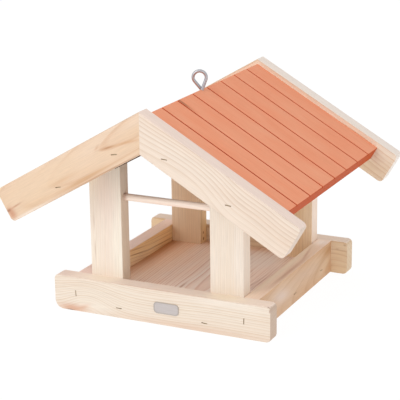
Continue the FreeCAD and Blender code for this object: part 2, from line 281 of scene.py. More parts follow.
def growth_rings(tree, board, pith, lean, ring, waves, wander=2.5, shift=0.0, uneven=1.0):
    """Share of late wood, 0 to 1, from the tree's rings about its pith, which runs along the board.
    pith is where it lies in y and z, lean how far it moves in each per millimetre along the board.
    ring is a usual year's width, 2 to 5 mm in quick-grown pine and more where a board cuts it aslant.
    wander is how far the stem strays, shift moves every ring by a share of its width, and uneven is
    how much the years differ, against the usual 1.
    A wave is (x, y, reach_x, reach_y, lift): it lifts the rings round a knot or a crook."""
    lift = None
    for x, y, reach_x, reach_y, height in waves:
        hill = fade(tree, spot(tree, board, x, y, reach_x, reach_y), height)
        lift = hill if lift is None else add(tree, "ShaderNodeMath", {0: lift, 1: hill})
    if lift is not None:
        lowered = add(tree, "ShaderNodeMath", {0: lift, 1: -1.0}, operation="MULTIPLY")
        drop = add(tree, "ShaderNodeCombineXYZ", {"Y": lowered})
        board = add(tree, "ShaderNodeVectorMath", {0: board, 1: drop}, operation="ADD")
    # The stem is never quite straight: it wanders over some 150 mm of its length
    slow = add(tree, "ShaderNodeVectorMath", {0: board, 1: (1 / 150, 1 / 70, 1 / 70)}, operation="MULTIPLY")
    stray = add(tree, "ShaderNodeTexNoise", {"Vector": slow, "Scale": 1.0, "Detail": 1.0})
    centred = add(tree, "ShaderNodeVectorMath", {0: stray.outputs["Color"], 1: (0.5, 0.5, 0.5)},
                  operation="SUBTRACT")
    astray = add(tree, "ShaderNodeVectorMath", {0: centred, 1: (0, 2 * wander, 2 * wander)},
                 operation="MULTIPLY")
    bent = add(tree, "ShaderNodeVectorMath", {0: board, 1: astray}, operation="ADD")
    apart = add(tree, "ShaderNodeSeparateXYZ", {0: bent}).outputs
    away = []
    for axis, start, slant in ((1, pith[0], lean[0]), (2, pith[1], lean[1])):
        line = add(tree, "ShaderNodeMath", {0: apart[0], 1: -slant, 2: apart[axis]}, operation="MULTIPLY_ADD")
        away.append(add(tree, "ShaderNodeMath", {0: line, 1: start}, operation="SUBTRACT"))
    across = add(tree, "ShaderNodeCombineXYZ", {"X": away[0], "Y": away[1]})
    radius = add(tree, "ShaderNodeVectorMath", {0: across}, operation="LENGTH").outputs["Value"]
    count = add(tree, "ShaderNodeMath", {0: radius, 1: 1 / ring, 2: shift}, operation="MULTIPLY_ADD")
    # Good and poor years make the rings wider and narrower
    years = add(tree, "ShaderNodeTexNoise", {"W": count, "Scale": 0.37, "Detail": 1.0}, noise_dimensions="1D")
    age = add(tree, "ShaderNodeMath", {0: years, 1: YEARS_MOVE * uneven, 2: count}, operation="MULTIPLY_ADD")
    within = add(tree, "ShaderNodeMath", {0: age}, operation="FRACT")
    year = add(tree, "ShaderNodeMath", {0: age}, operation="FLOOR")
    depth = add(tree, "ShaderNodeTexWhiteNoise", {"W": year}, noise_dimensions="1D")
    strength = add(tree, "ShaderNodeMapRange", {
        "Value": depth.outputs["Value"], "To Min": 1 - YEARS_PALE * uneven, "To Max": 1.0})
    # Early wood darkens slowly into late wood, which ends sharply at the next spring
    late = add(tree, "ShaderNodeValToRGB", {"Fac": within})
    late.color_ramp.interpolation = "EASE"
    set_stops(late, [(at, (value, value, value, 1)) for at, value in (
        (0.30, 0), (0.68, 0.35), (0.86, 1.0), (0.93, 0.9), (1.0, 0))])
    return add(tree, "ShaderNodeMath", {0: late, 1: strength}, operation="MULTIPLY")


def fibres(tree, board, length=26, width=0.9):
    """Fine streaks with the grain, drawn about three times as coarse as pine's own so that they show."""
    stretched = add(tree, "ShaderNodeVectorMath", {0: board, 1: (1 / length, 1 / width, 1 / width)},
                    operation="MULTIPLY")
    return add(tree, "ShaderNodeTexNoise", {
        "Vector": stretched, "Scale": 1.0, "Detail": 3.0, "Roughness": 0.6})


def knot(tree, board, x, y, reach_x, reach_y, turn):
    """A branch cut across: a brown heart, a darker rim of bark, and a warm halo where the rings part."""
    apart = spot(tree, board, x, y, reach_x, reach_y, turn)
    rough = add(tree, "ShaderNodeTexNoise", {"Vector": board, "Scale": 0.45, "Detail": 2.0})
    ragged = add(tree, "ShaderNodeMath", {0: rough, 1: 0.7, 2: apart}, operation="MULTIPLY_ADD")
    outness = add(tree, "ShaderNodeMath", {0: ragged, 1: 0.45}, operation="MULTIPLY")
    bark = add(tree, "ShaderNodeValToRGB", {"Fac": outness})
    set_stops(bark, [(at, linear(shade)[:3] + [share]) for at, shade, share in (
        (0.10, "#8A4F33", 1.0), (0.42, "#A5673F", 1.0), (0.55, "#6E3B27", 1.0), (0.62, "#C98A60", 0.75),
        (0.95, "#E3B48C", 0.0))])
    return bark.outputs["Alpha"], bark


def pine(name, middle, along, across, early, late, warm, pith, ring, lean=(0, 0), waves=(), patches=(),
         edge_patches=(), knots=(), wander=2.5, shift=0.0, uneven=1.0, show=1.0, end="#D9BFA0",
         edge="#E9CDB9", edge_share=0.45, gloss_level=0.35):
    """Planed pine, bare and dry. Its early wood is pale cream, its late wood a thin tan line per year.
    A planed face is matt with a faint sheen along the fibres, and the end grain drinks in more light.
    Dry wood has an IOR of about 1.5 and a roughness from 0.5, where the plane pressed it, to 0.66.
    A board's edges were sawn apart after its faces were planed, and look pinker with fainter rings. On some
    boards the edge colour and some patches are painted light or painted shade.
    A patch is (x, y, reach_x, reach_y, turn, colour, share) and lies on the faces, and one on the
    edges has z for y. A knot is (x, y, reach_x, reach_y, turn)."""
    material, tree = bare_material(name)
    board = board_frame(tree, middle, along, across)
    rings = growth_rings(tree, board, pith, lean, ring, waves, wander, shift, uneven)
    fine = fibres(tree, board)
    # Heartwood and sapwood drift into each other, over some 140 mm with the grain and 30 mm across it
    broad = add(tree, "ShaderNodeVectorMath", {0: board, 1: (1 / 140, 1 / 30, 1 / 30)}, operation="MULTIPLY")
    drift = add(tree, "ShaderNodeTexNoise", {"Vector": broad, "Scale": 1.0, "Detail": 2.0})
    warmth = add(tree, "ShaderNodeMapRange", {"Value": drift, "From Min": 0.42, "From Max": 0.70})
    facing = add(tree, "ShaderNodeTexCoord").outputs["Normal"]
    edges = facing_share(tree, facing, across, 0.5, 0.9)
    fainter = add(tree, "ShaderNodeMapRange", {"Value": edges, "To Min": show, "To Max": show * 0.45})
    shown = add(tree, "ShaderNodeMath", {0: rings, 1: fainter}, operation="MULTIPLY")
    blush = add(tree, "ShaderNodeMath", {0: edges, 1: edge_share}, operation="MULTIPLY")
    layers = [(warmth, warm), (shown, late), (blush, edge)]
    for x, y, reach_x, reach_y, turn, shade, share in patches:
        layers.append((fade(tree, spot(tree, board, x, y, reach_x, reach_y, turn), share), shade))
    apart = add(tree, "ShaderNodeSeparateXYZ", {0: board}).outputs
    on_edge = add(tree, "ShaderNodeCombineXYZ", {"X": apart[0], "Y": apart[2]})
    for x, z, reach_x, reach_z, turn, shade, share in edge_patches:
        hill = fade(tree, spot(tree, on_edge, x, z, reach_x, reach_z, turn), share)
        layers.append((add(tree, "ShaderNodeMath", {0: hill, 1: edges}, operation="MULTIPLY"), shade))
    wood = streaked(tree, paint(tree, early, layers), fine, 0.93, 1.05)
    # End grain faces along the board's own direction
    ends = facing_share(tree, facing, along, 0.55, 0.95, 0.45)
    colour = paint(tree, wood, [knot(tree, board, *place) for place in knots] + [(ends, end)])
    # Rings and fibres stand in a faint relief, less than a tenth of a millimetre deep
    grain = add(tree, "ShaderNodeMath", {0: rings, 1: -0.6, 2: fine}, operation="MULTIPLY_ADD")
    relief = add(tree, "ShaderNodeBump", {"Strength": 0.25, "Distance": 0.08 * MM, "Height": grain})
    gloss = add(tree, "ShaderNodeMapRange", {"Value": fine, "To Min": 0.50, "To Max": 0.66})
    surface = add(tree, "ShaderNodeBsdfPrincipled", {
        "Base Color": colour, "Roughness": gloss, "IOR": 1.5, "Specular IOR Level": gloss_level,
        "Normal": relief})
    add(tree, "ShaderNodeOutputMaterial", {"Surface": surface})
    return material


def barge_grain(end, side):
    """A barge board's own frame: it starts at the apex, in the middle of the board's width."""
    y = (ROOF_DEPTH - BARGE_THICK) / 2 * (-1 if end == "front" else 1)
    return on_gable(side, 0, BARGE_WIDTH / 2, y), down_slope(side), off_slope(side)


# What each board is cut from. Its own frame starts at its middle, or at the apex on the barge boards.
FRONT_RAIL = pine(
    "planed_pine_front_rail", middle_of("front_rail"), ACROSS, UP,
    early="#ECDECE", late="#D1B392", warm="#E9D7C5", pith=(-75, -25), ring=2.8,
    waves=[(-90, -8, 30, 26, 15), (-20, 8, 40, 30, -1.5)],
    # In the patches, the darker band along the lower edge (y -17.5) is painted shade on the eased arris, and
    # the pale line along the top at the right (y 16.5) is a painted highlight.
    patches=[(-78, -11, 20, 6, -8, "#EFE2D2", 0.85), (80, 16.5, 50, 3.5, 0, "#F0E4D6", 0.85),
             (40, -17.5, 95, 3.5, 0, "#DFC0AA", 0.6), (-110, -17, 17, 4.5, 0, "#D59C7C", 0.75),
             (-96, -14, 9, 2.5, 25, "#DDB095", 0.5), (-113, -19.7, 5, 0.8, 0, "#7E4E36", 0.8),
             (131.8, 15.5, 0.6, 1.8, 0, "#9C6D4C", 0.7)],
    edge_patches=[(-75, 0, 22, 14, 0, "#F8ECD8", 0.7), (78, 0, 24, 14, 0, "#F6E8D0", 0.8),
                  (-124, 0, 12, 14, 0, "#E9D2C6", 0.6), (0, 8.5, 60, 1.5, 0, "#E9C0A6", 0.5),
                  (130.5, 8, 1.6, 1.4, 0, "#8A5B3E", 0.7), (131.5, 3, 1, 1.2, 0, "#A67C5C", 0.5)],
    # Its upper and lower faces are painted near white: painted light, for the top that lies in the roof's
    # shade.
    show=0.7, end="#AA7F61", edge="#FFEDE0", edge_share=0.9)
REAR_RAIL = pine(
    "planed_pine_rear_rail", middle_of("rear_rail"), ACROSS, UP,
    early="#EAD3B6", late="#C49A6E", warm="#E1C19A", pith=(35, -30), ring=5.2,
    waves=[(118, 4, 20, 14, 4)],
    patches=[(120, 10.3, 2.2, 1.1, 5, "#A1784F", 0.3), (127, 9, 6, 0.7, 4, "#C9A27A", 0.5),
             (129.5, 16.5, 1.6, 1.2, 0, "#A98560", 0.6)],
    show=0.5, edge="#F3E3D8", edge_share=0.8)
LEFT_RAIL = pine(
    "planed_pine_left_rail", middle_of("left_rail"), BACKWARD, UP,
    early="#FFE8BE", late="#CC9254", warm="#FFD498", pith=(-70, 0), ring=2.95, lean=(-0.095, 0.01),
    waves=[(35, 0, 55, 60, -2)],
    patches=[(75, 0, 36, 18, 0, "#F8BE74", 0.6), (-5, -4, 30, 9, -5, "#EDBC9C", 0.5),
             (2, 9.6, 26, 0.8, -8, "#94481A", 0.75), (58, 4.4, 38, 0.7, -3, "#94481A", 0.75),
             (5, 15.3, 24, 0.6, -7, "#B0642C", 0.5), (62, 10, 34, 0.6, -3, "#B0642C", 0.5),
             (4, 5.2, 26, 0.6, -8, "#B0642C", 0.45), (60, 0.4, 36, 0.6, -3, "#B0642C", 0.45),
             (62, 14.6, 34, 0.5, -3, "#B0642C", 0.4), (4, 1.4, 24, 0.5, -7, "#B0642C", 0.35)],
    show=0.42, edge="#F6DCD6", edge_share=0.9)
RIGHT_RAIL = pine(
    "planed_pine_right_rail", middle_of("right_rail"), BACKWARD, UP,
    early="#DCB998", late="#B27C52", warm="#D3A67D", pith=(-14, -45), ring=3.2, lean=(0, 0.085),
    patches=[(-47, 2.5, 26, 8, -10, "#E2CABB", 0.8), (75, 2, 40, 3, 19, "#BE9068", 0.45),
             (95, -3, 30, 5, 19, "#E2C5A3", 0.5), (-20, -9, 60, 3.5, 2, "#CFA784", 0.4),
             (101, 11, 20, 7, 0, "#C08A54", 0.6), (20, 6, 40, 7, -5, "#D4B298", 0.6)],
    edge_patches=[(0, -5, 110, 4, 0, "#FFF1DC", 0.6), (-16, 4.5, 46, 2.6, 0, "#C8957A", 0.6),
                  (52, 0, 22, 1.6, -9, "#C8957A", 0.55), (100, 0, 12, 10, 0, "#FFF3EC", 0.8)],
    show=0.28, edge="#FFE6D2", edge_share=0.85)
FLOOR_BOARD = pine(
    "planed_pine_floor", middle_of("floor_board"), BACKWARD, -ACROSS,
    early="#FFEFE6", late="#D29A80", warm="#FFE0CE", pith=(-14, -36), ring=2.8, lean=(0.03, 0.02),
    waves=[(-50, 9, 26, 7, 3)],
    # The dark orange band at y 92, along the left rail, is painted shade where the floor meets the rail.
    patches=[(-54, 8.4, 13, 1.4, 2, "#B07C5C", 0.75), (60, 92, 130, 14, 0, "#BC742E", 0.85),
             (104, 20, 10, 90, 0, "#E8AE7C", 0.5), (60, -30, 40, 50, 0, "#FFF3EA", 0.65),
             (-60, 0, 25, 4.5, 0, "#FBE3D4", 0.7), (60, 66, 120, 20, 0, "#FFBC80", 0.4),
             (-22, -63, 36, 1.5, -4, "#A8664C", 0.5), (-12, -68.5, 34, 1.3, -4, "#A8664C", 0.4),
             (-60, -40, 45, 28, 0, "#FFEADE", 0.5)], wander=1.5, show=0.8)
POST_FRONT_LEFT = pine(
    "planed_pine_post_front_left", middle_of("post_front_left"), UP, ACROSS,
    early="#F5ECDD", late="#E2CBB0", warm="#F0E0D1", pith=(-46, 12), ring=2.6, lean=(0.02, 0),
    # The pinker, darker patch on the upper part is painted shade under the roof.
    patches=[(40, 2, 40, 15, 0, "#EED8CC", 0.55), (-24, -14.4, 11, 0.6, 0, "#B08A6C", 0.5),
             (8, -15, 9, 0.5, 0, "#B08A6C", 0.4)],
    wander=1.2, show=0.4, edge="#D9B896", edge_share=0.5)
POST_FRONT_RIGHT = pine(
    "planed_pine_post_front_right", middle_of("post_front_right"), UP, ACROSS,
    early="#F1E5D8", late="#DFC7AC", warm="#EEDFCE", pith=(-60, 8), ring=2.2, lean=(-0.01, 0),
    wander=1.2, show=0.45, edge="#F0DAC6")
POST_REAR_LEFT = pine(
    "planed_pine_post_rear_left", middle_of("post_rear_left"), UP, BACKWARD,
    early="#F4D8B0", late="#B27E4E", warm="#ECC592", pith=(10, 60), ring=2.8, lean=(0, 0.01),
    knots=[(-63.1, -1, 1.4, 1.0, 0), (-71, -1, 1.8, 1.2, 0)], wander=1.2, show=0.75)
POST_REAR_RIGHT = pine(
    "planed_pine_post_rear_right", middle_of("post_rear_right"), UP, ACROSS,
    early="#F7DDBC", late="#C89B6E", warm="#EECDA4", pith=(50, 5), ring=3.4, wander=1.2, show=0.32,
    edge="#FBE9DC", edge_share=0.8)
BARGE_FRONT_LEFT = pine(
    "planed_pine_barge_front_left", *barge_grain("front", "left"),
    early="#E7CCB3", late="#CD9D73", warm="#E1C1A0", pith=(10.5, -4.2), ring=8.8, lean=(-0.09, 0.132),
    patches=[(118, 6, 34, 9, -8, "#E6CAAD", 0.85), (168, 4, 38, 12, -8, "#E6CAAD", 0.85),
             (150, -3, 40, 5, 0, "#E4C7A8", 0.6), (54, 2.6, 9, 1.1, 9, "#B07850", 0.7),
             (28, -2.4, 16, 1.6, 12, "#CF9E74", 0.6), (66, 8.0, 4, 1.4, -20, "#C8966E", 0.5),
             (100, -15.5, 45, 3, 0, "#CFA274", 0.6), (124, -5, 18, 2.2, 0, "#D2A67C", 0.45),
             (102, -15.5, 24, 2, 0, "#C6946A", 0.4), (75, -18.9, 48, 0.7, 0, "#B07C50", 0.7),
             (195, -5.8, 7, 0.9, -3, "#B87A5A", 0.65), (204.5, -11.5, 5, 7.5, 0, "#BF7450", 0.6),
             (206.5, -6.8, 3.2, 1.8, 0, "#8E4A34", 0.6), (180, -18.6, 30, 1.4, 0, "#F2E2D2", 0.8)],
    wander=1.2, shift=0.45, show=0.4)
BARGE_FRONT_RIGHT = pine(
    "planed_pine_barge_front_right", *barge_grain("front", "right"),
    early="#EBDBCC", late="#CDB094", warm="#E8D3C1", pith=(-31, -25), ring=3.5,
    waves=[(75, -8, 48, 26, 8.3), (136, -8, 26, 40, -5), (195, -5, 38, 45, -6)],
    patches=[(120, -13, 120, 7, 0, "#EEDFCF", 0.55)], wander=1.0, uneven=0.375, show=0.6,
    edge="#F9E2D6", edge_share=0.8, end="#DCC9BB")
BARGE_REAR_LEFT = pine(
    "planed_pine_barge_rear_left", *barge_grain("rear", "left"),
    early="#F0DDC6", late="#D3AD84", warm="#EBD0B0", pith=(60, 34), ring=4.2,
    waves=[(120, 2, 30, 18, -6)], knots=[(64, 6, 3.0, 2.2, 10)], show=0.75)
BARGE_REAR_RIGHT = pine(
    "planed_pine_barge_rear_right", *barge_grain("rear", "right"),
    early="#F2E3D2", late="#CFA67C", warm="#EDD6BC", pith=(-52, 28), ring=5.2,
    # Its lower end is painted near white, as painted light; bare end grain would be darker.
    waves=[(150, 0, 34, 18, 5)], show=0.6, edge="#F7EBE2", edge_share=0.8, end="#FBFBFF")
# The battens were left rough from the saw. The upper ones are coloured dark brown as painted shade, standing
# in for the dark shadow under the front barge boards. A torn surface scatters all the light, so they have no
# sheen.
BATTEN_HEART = 30  # below the barge boards' upper edge, near the middle of the battens' thickness
BATTENS = {
    f"batten_{level}_{side}": pine(
        f"sawn_pine_batten_{level}_{side}",
        on_gable(side, BATTEN_STARTS[level] + BATTEN_WIDTH / 2, BATTEN_HEART, 0), BACKWARD, down_slope(side),
        early=early, late=late, warm=warm, pith=pith, ring=ring, show=0.8, edge=early, end=late,
        gloss_level=0.0)
    for level, side, pith, ring, early, late, warm in (
        # The upper battens' dark browns are painted shade
        ("upper", "left", (-38, 20), 3.6, "#3E2118", "#2A150E", "#361C13"),
        ("upper", "right", (14, -30), 4.4, "#7A4F38", "#543323", "#6C4430"),
        ("lower", "left", (40, -12), 2.9, "#F8E8D2", "#D4AC84", "#F2DABC"),
        ("lower", "right", (-20, -34), 4.0, "#F8E8D2", "#D4AC84", "#F2DABC"))}
# The perch was turned from pale wood with narrow rings, which show only faintly
PERCH = pine(
    "turned_pine_perch", middle_of("perch_dowel"), ACROSS, UP,
    early="#FFEEE0", late="#ECC4AA", warm="#FFDFCB", pith=(9, -14), ring=1.7,
    # The brown patch at the left end is painted shade where the dowel enters the left post.
    patches=[(-52, 1, 3, 6, 0, "#A9744F", 0.6)], show=0.4, edge_share=0)
# Where a staple was punched in, the wood is crushed, and looks browner
BRUISED = pine(
    "bruised_pine_slot", (0, 0, 0), ACROSS, UP,
    early="#AC8662", late="#886446", warm="#9E7856", pith=(0, -50), ring=2.0, edge_share=0)


def stained(name, middle, along, across, smears=()):
    """Pine panel with an orange-red wood stain. The stain sits in the fibres and evens out the rings,
    grooves and the cut edge drink more of it, and the underside was left bare. It dries matt, with
    wood's IOR of 1.5 and a roughness of 0.7. A smear of dirt is (x, y, reach_x, reach_y)."""
    material, tree = bare_material(name)
    board = board_frame(tree, middle, along, across)
    rings = growth_rings(tree, board, pith=(10, -190), lean=(0, 0), ring=5.2, waves=())
    faint = add(tree, "ShaderNodeMath", {0: rings, 1: 0.22}, operation="MULTIPLY")
    fine = fibres(tree, board, 30, 1.1)
    # The brush left clouds of paler stain, some 60 mm long and 28 mm wide
    broad = add(tree, "ShaderNodeVectorMath", {0: board, 1: (1 / 60, 1 / 28, 1 / 28)}, operation="MULTIPLY")
    cloud = add(tree, "ShaderNodeTexNoise", {"Vector": broad, "Scale": 1.0, "Detail": 3.0})
    paler = add(tree, "ShaderNodeMapRange", {
        "Value": cloud, "From Min": 0.35, "From Max": 0.7, "To Max": 0.5})
    brushed = paint(tree, "#F49E79", [(faint, "#E88B64"), (paler, "#F5AF8C")])
    layers = []
    for x, y, reach_x, reach_y in smears:
        layers.append((fade(tree, spot(tree, board, x, y, reach_x, reach_y), 0.75), "#8A5A3E"))
    # Below the face, in the grooves and on the eave, the saw opened the wood and the stain went in deeper
    apart = add(tree, "ShaderNodeSeparateXYZ", {0: board}).outputs
    below = add(tree, "ShaderNodeMapRange", {"Value": apart[2], "From Min": -0.2, "From Max": -0.7})
    eave = add(tree, "ShaderNodeMapRange", {
        "Value": apart[0], "From Min": PANEL_REACH - 0.6, "From Max": PANEL_REACH - 0.1})
    uneven_cut = paint(tree, "#B84C22", [(fine, "#CC6034")])
    facing = add(tree, "ShaderNodeTexCoord").outputs["Normal"]
    down = add(tree, "ShaderNodeVectorMath", {0: facing, 1: -along.cross(across)}, operation="DOT_PRODUCT")
    bare = add(tree, "ShaderNodeMapRange", {
        "Value": down.outputs["Value"], "From Min": 0.6, "From Max": 0.9})
    layers += [(below, "#CC4F20"), (eave, uneven_cut), (bare, "#F8EAD8")]
    colour = paint(tree, streaked(tree, brushed, fine, 0.94, 1.04), layers)
    relief = add(tree, "ShaderNodeBump", {"Strength": 0.3, "Distance": 0.1 * MM, "Height": fine})
    surface = add(tree, "ShaderNodeBsdfPrincipled", {
        "Base Color": colour, "Roughness": 0.7, "IOR": 1.5, "Specular IOR Level": 0.15, "Normal": relief})
    add(tree, "ShaderNodeOutputMaterial", {"Surface": surface})
    return material


ROOF_RIGHT = stained("stained_pine_roof_right", on_gable("right", 0, PANEL_SINK, 0),
                     down_slope("right"), BACKWARD, smears=[(9, -71.5, 12, 2.2)])
ROOF_LEFT = stained("stained_pine_roof_left", on_gable("left", 0, PANEL_SINK, 0),
                    down_slope("left"), -BACKWARD)


# Metal

def metal(name, colour, dark, roughness, metallic, marks):
    """Metal with fine marks from its making, a little darker and duller than the rest. marks is their
    size in x, y and z, in millimetres. metallic is under 1 where a thin film scatters part of the light."""
    material, tree = bare_material(name)
    place = add(tree, "ShaderNodeTexCoord").outputs["Object"]
    scaled = add(tree, "ShaderNodeVectorMath", {0: place, 1: [1 / (size * MM) for size in marks]},
                 operation="MULTIPLY")
    noise = add(tree, "ShaderNodeTexNoise", {"Vector": scaled, "Scale": 1.0, "Detail": 3.0})
    share = add(tree, "ShaderNodeMapRange", {"Value": noise, "From Min": 0.4, "From Max": 0.75})
    gloss = add(tree, "ShaderNodeMapRange", {
        "Value": noise, "To Min": roughness - 0.06, "To Max": roughness + 0.08})
    relief = add(tree, "ShaderNodeBump", {"Strength": 0.1, "Distance": 0.01 * MM, "Height": noise})
    surface = add(tree, "ShaderNodeBsdfPrincipled", {
        "Base Color": paint(tree, colour, [(share, dark)]), "Roughness": gloss, "Metallic": metallic,
        "Normal": relief})
    add(tree, "ShaderNodeOutputMaterial", {"Surface": surface})
    return material


# Bent steel wire, plated with zinc in a bath: smooth and bright, with soft clouds some 20 mm wide
ZINC = metal("zinc_plated_steel_wire", "#C0C0C5", "#B3B3B9", 0.32, 0.85, (20, 20, 20))
# Galvanised staple wire, flattened and weathered: a duller grey-brown that hardly mirrors anything
STAPLE_STEEL = metal("galvanised_steel_staple", "#B9A283", "#94805F", 0.45, 0.6, (20, 20, 20))
# Rolled aluminium sheet, satin: broad soft highlights and faint lines across, which are drawn 0.4 mm
# apart, about four times as coarse as real ones, so that they show. The pressed rim is a little darker.
ROLLED = (12.5, 1, 0.4)
PLATE_FACE = metal("satin_aluminium_face", "#CAC2C0", "#C0B8B5", 0.5, 0.5, ROLLED)
PLATE_RIM = metal("satin_aluminium_rim", "#BDB5AE", "#B3ABA5", 0.5, 0.5, ROLLED)


# Stage: a plain white floor and soft studio light

LAMP_AIM = Vector((0, 0, 0.12))
# Name, place and edge in metres, and power in watts
SOFTBOXES = (
    ("front_softbox", (-0.9, -2.3, 1.1), 1.6, 11.3),
    ("high_softbox", (-0.4, -1.9, 2.0), 1.3, 8),
    ("right_softbox", (1.7, -1.5, 1.7), 1.0, 3.6),
)


def studio():
    """The floor, the lights and the pale surroundings."""
    shape = bmesh.new()
    bmesh.ops.create_grid(shape, x_segments=8, y_segments=8, size=9.0)
    floor = finished("studio_floor", shape)
    # Uncoated paper mirrors nothing. It glows, so that it stays white and the shadows on it are faint.
    paper, tree = bare_material("matt_white_paper")
    surface = add(tree, "ShaderNodeBsdfPrincipled", {
        "Base Color": linear("#5C5C5C"), "Roughness": 0.9, "Specular IOR Level": 0.0,
        "Emission Color": linear("#FFFFFF"), "Emission Strength": 0.93})
    add(tree, "ShaderNodeOutputMaterial", {"Surface": surface})
    floor.data.materials.append(paper)
    world = bpy.data.worlds.new("pale_studio")
    world.use_nodes = True
    world.node_tree.nodes.clear()
    sky = add(world.node_tree, "ShaderNodeBackground", {"Color": linear("#FFFFFF"), "Strength": 0.76})
    add(world.node_tree, "ShaderNodeOutputWorld", {"Surface": sky})
    bpy.context.scene.world = world
    bpy.context.scene.view_settings.view_transform = "Standard"
    for name, place, edge, power in SOFTBOXES:
        lamp = bpy.data.lights.new(name, "AREA")
        lamp.shape = "SQUARE"
        lamp.size = edge
        lamp.energy = power
        stand = bpy.data.objects.new(name, lamp)
        stand.location = place
        stand.rotation_euler = (LAMP_AIM - Vector(place)).to_track_quat("-Z", "Y").to_euler()
        bpy.context.scene.collection.objects.link(stand)


# The photograph's viewpoint, with its turns in degrees and the rest in millimetres
VIEW_AZIMUTH, VIEW_ELEVATION, VIEW_ROLL = 25.729, 16.621, -0.695
VIEW_AIM, VIEW_DISTANCE, VIEW_LENS = Vector((-93.123, 172.505, 49.892)), 1843.171, 127.24


def camera():
    """The camera, in front and to the right, a little above the roof."""
    azimuth, elevation, roll = (math.radians(turn) for turn in (VIEW_AZIMUTH, VIEW_ELEVATION, VIEW_ROLL))
    back = Vector((math.sin(azimuth) * math.cos(elevation), -math.cos(azimuth) * math.cos(elevation),
                   math.sin(elevation)))
    right = (-back).cross(UP).normalized()
    up = right.cross(-back)
    level_right = right * math.cos(roll) + up * math.sin(roll)
    level_up = up * math.cos(roll) - right * math.sin(roll)
    lens = bpy.data.cameras.new("camera")
    lens.sensor_width = 36
    lens.lens = VIEW_LENS
    lens.clip_start, lens.clip_end = 0.05, 40
    stand = bpy.data.objects.new("camera", lens)
    where = (VIEW_AIM + back * VIEW_DISTANCE) * MM
    turn = Matrix((level_right, level_up, back)).transposed().to_4x4()
    stand.matrix_world = Matrix.Translation(where) @ turn
    bpy.context.scene.collection.objects.link(stand)
    bpy.context.scene.camera = stand


# The boards

def same(a, b, axes):
    """True when two points have the same place on these axes."""
    return all(abs(getattr(a, axis) - getattr(b, axis)) < SAME for axis in axes)


def cross_rail(end):
    """Front or rear rail: its ends overhang the side rails and are rounded. The front one has some wane."""
    low, high = box_mm(f"{end}_rail")
    half = (high - low) / 2
    outline = rounded([(-half.x, -half.z, WANE if end == "front" else RAIL_CORNER),
                       (half.x, -half.z, RAIL_CORNER), (half.x, half.z, RAIL_CORNER),
                       (-half.x, half.z, RAIL_CORNER)])
    return prism(f"{end}_rail_board", outline, 2 * half.y, (low + high) / 2, ACROSS, UP,
                 lambda a, b: same(a, b, "z"))


def long_board(name, node, ease=EASE):
    """A board that runs front to rear between two others, with only its long edges eased."""
    low, high = box_mm(node)
    half = (high - low) / 2
    outline = [Vector(p) for p in (
        (-half.y, -half.z), (half.y, -half.z), (half.y, half.z), (-half.y, half.z))]
    return prism(name, outline, 2 * half.x, (low + high) / 2, BACKWARD, UP,
                 lambda a, b: same(a, b, "yz"), ease)


def post(end, side):
    """A post: square at the foot, cut to the roof's slope at the top."""
    low, high = box_mm(f"post_{end}_{side}")
    inner, outer = (low.x, high.x) if side == "right" else (high.x, low.x)
    drop = abs(outer - inner) * SIN / COS
    outline = [Vector(p) for p in (
        (inner, low.z), (outer, low.z), (outer, high.z - drop), (inner, high.z))]
    return prism(f"post_{end}_{side}_board", outline, high.y - low.y, Vector((0, (low.y + high.y) / 2, 0)),
                 ACROSS, UP, lambda a, b: same(a, b, "xz"))


def batten(level, side):
    """A batten that lies flat under a roof panel, from barge board to barge board. The rough face of the
    upper ones stands a little below the barge boards."""
    under = PANEL_SINK + PANEL_THICK
    thick = BATTEN_THICK + (ROUGH_FACE if level == "upper" else 0)
    middle = on_gable(side, BATTEN_STARTS[level] + BATTEN_WIDTH / 2, under + thick / 2, 0)
    half_w, half_t = BATTEN_WIDTH / 2, thick / 2
    outline = [Vector(p) for p in (
        (-half_w, -half_t), (half_w, -half_t), (half_w, half_t), (-half_w, half_t))]
    return prism(f"batten_{level}_{side}_board", outline, BETWEEN_BARGES, middle, down_slope(side),
                 off_slope(side), lambda a, b: not same(a, b, "z"))


def barge_board(end, side):
    """A barge board: mitred at the apex, its lower end rounded."""
    y = (ROOF_DEPTH - BARGE_THICK) / 2 * (-1 if end == "front" else 1)
    tip, toe = on_gable(side, BARGE_LENGTH, 0, 0), on_gable(side, BARGE_LENGTH, BARGE_WIDTH, 0)
    corners = [(0, APEX, 0), (tip.x, tip.z, BARGE_CORNER), (toe.x, toe.z, BARGE_CORNER),
               (0, APEX - BARGE_WIDTH / COS, 0)]
    if side == "right":
        corners.reverse()
    return prism(f"barge_{end}_{side}_board", rounded(corners), BARGE_THICK, Vector((0, y, 0)), ACROSS, UP,
                 lambda a, b: same(a, b, "z") and abs(a.x) + abs(b.x) > SAME)


# Pieces that repeat or follow a rule, made with Geometry Nodes

def new_tree(name, sizes):
    """A Geometry Nodes tree with a geometry input and named sizes, each with its usual value."""
    tree = bpy.data.node_groups.new(name, "GeometryNodeTree")
    tree.interface.new_socket("Geometry", in_out="INPUT", socket_type="NodeSocketGeometry")
    tree.interface.new_socket("Geometry", in_out="OUTPUT", socket_type="NodeSocketGeometry")
    for label, value in sizes.items():
        kind = {int: "NodeSocketInt", float: "NodeSocketFloat"}.get(type(value), "NodeSocketMaterial")
        socket = tree.interface.new_socket(label, in_out="INPUT", socket_type=kind)
        if kind != "NodeSocketMaterial":
            socket.default_value = value
    return tree, add(tree, "NodeGroupInput").outputs


def grown(name, mesh, tree, sizes):
    """The plain mesh that a tree makes of a starting mesh with these sizes."""
    piece = bpy.data.objects.new(name, mesh)
    bpy.context.scene.collection.objects.link(piece)
    nodes = piece.modifiers.new("Made", "NODES")
    nodes.node_group = tree
    for socket in tree.interface.items_tree:
        if socket.in_out == "INPUT" and socket.name in sizes:
            nodes[socket.identifier] = sizes[socket.name]
    return settle(piece)


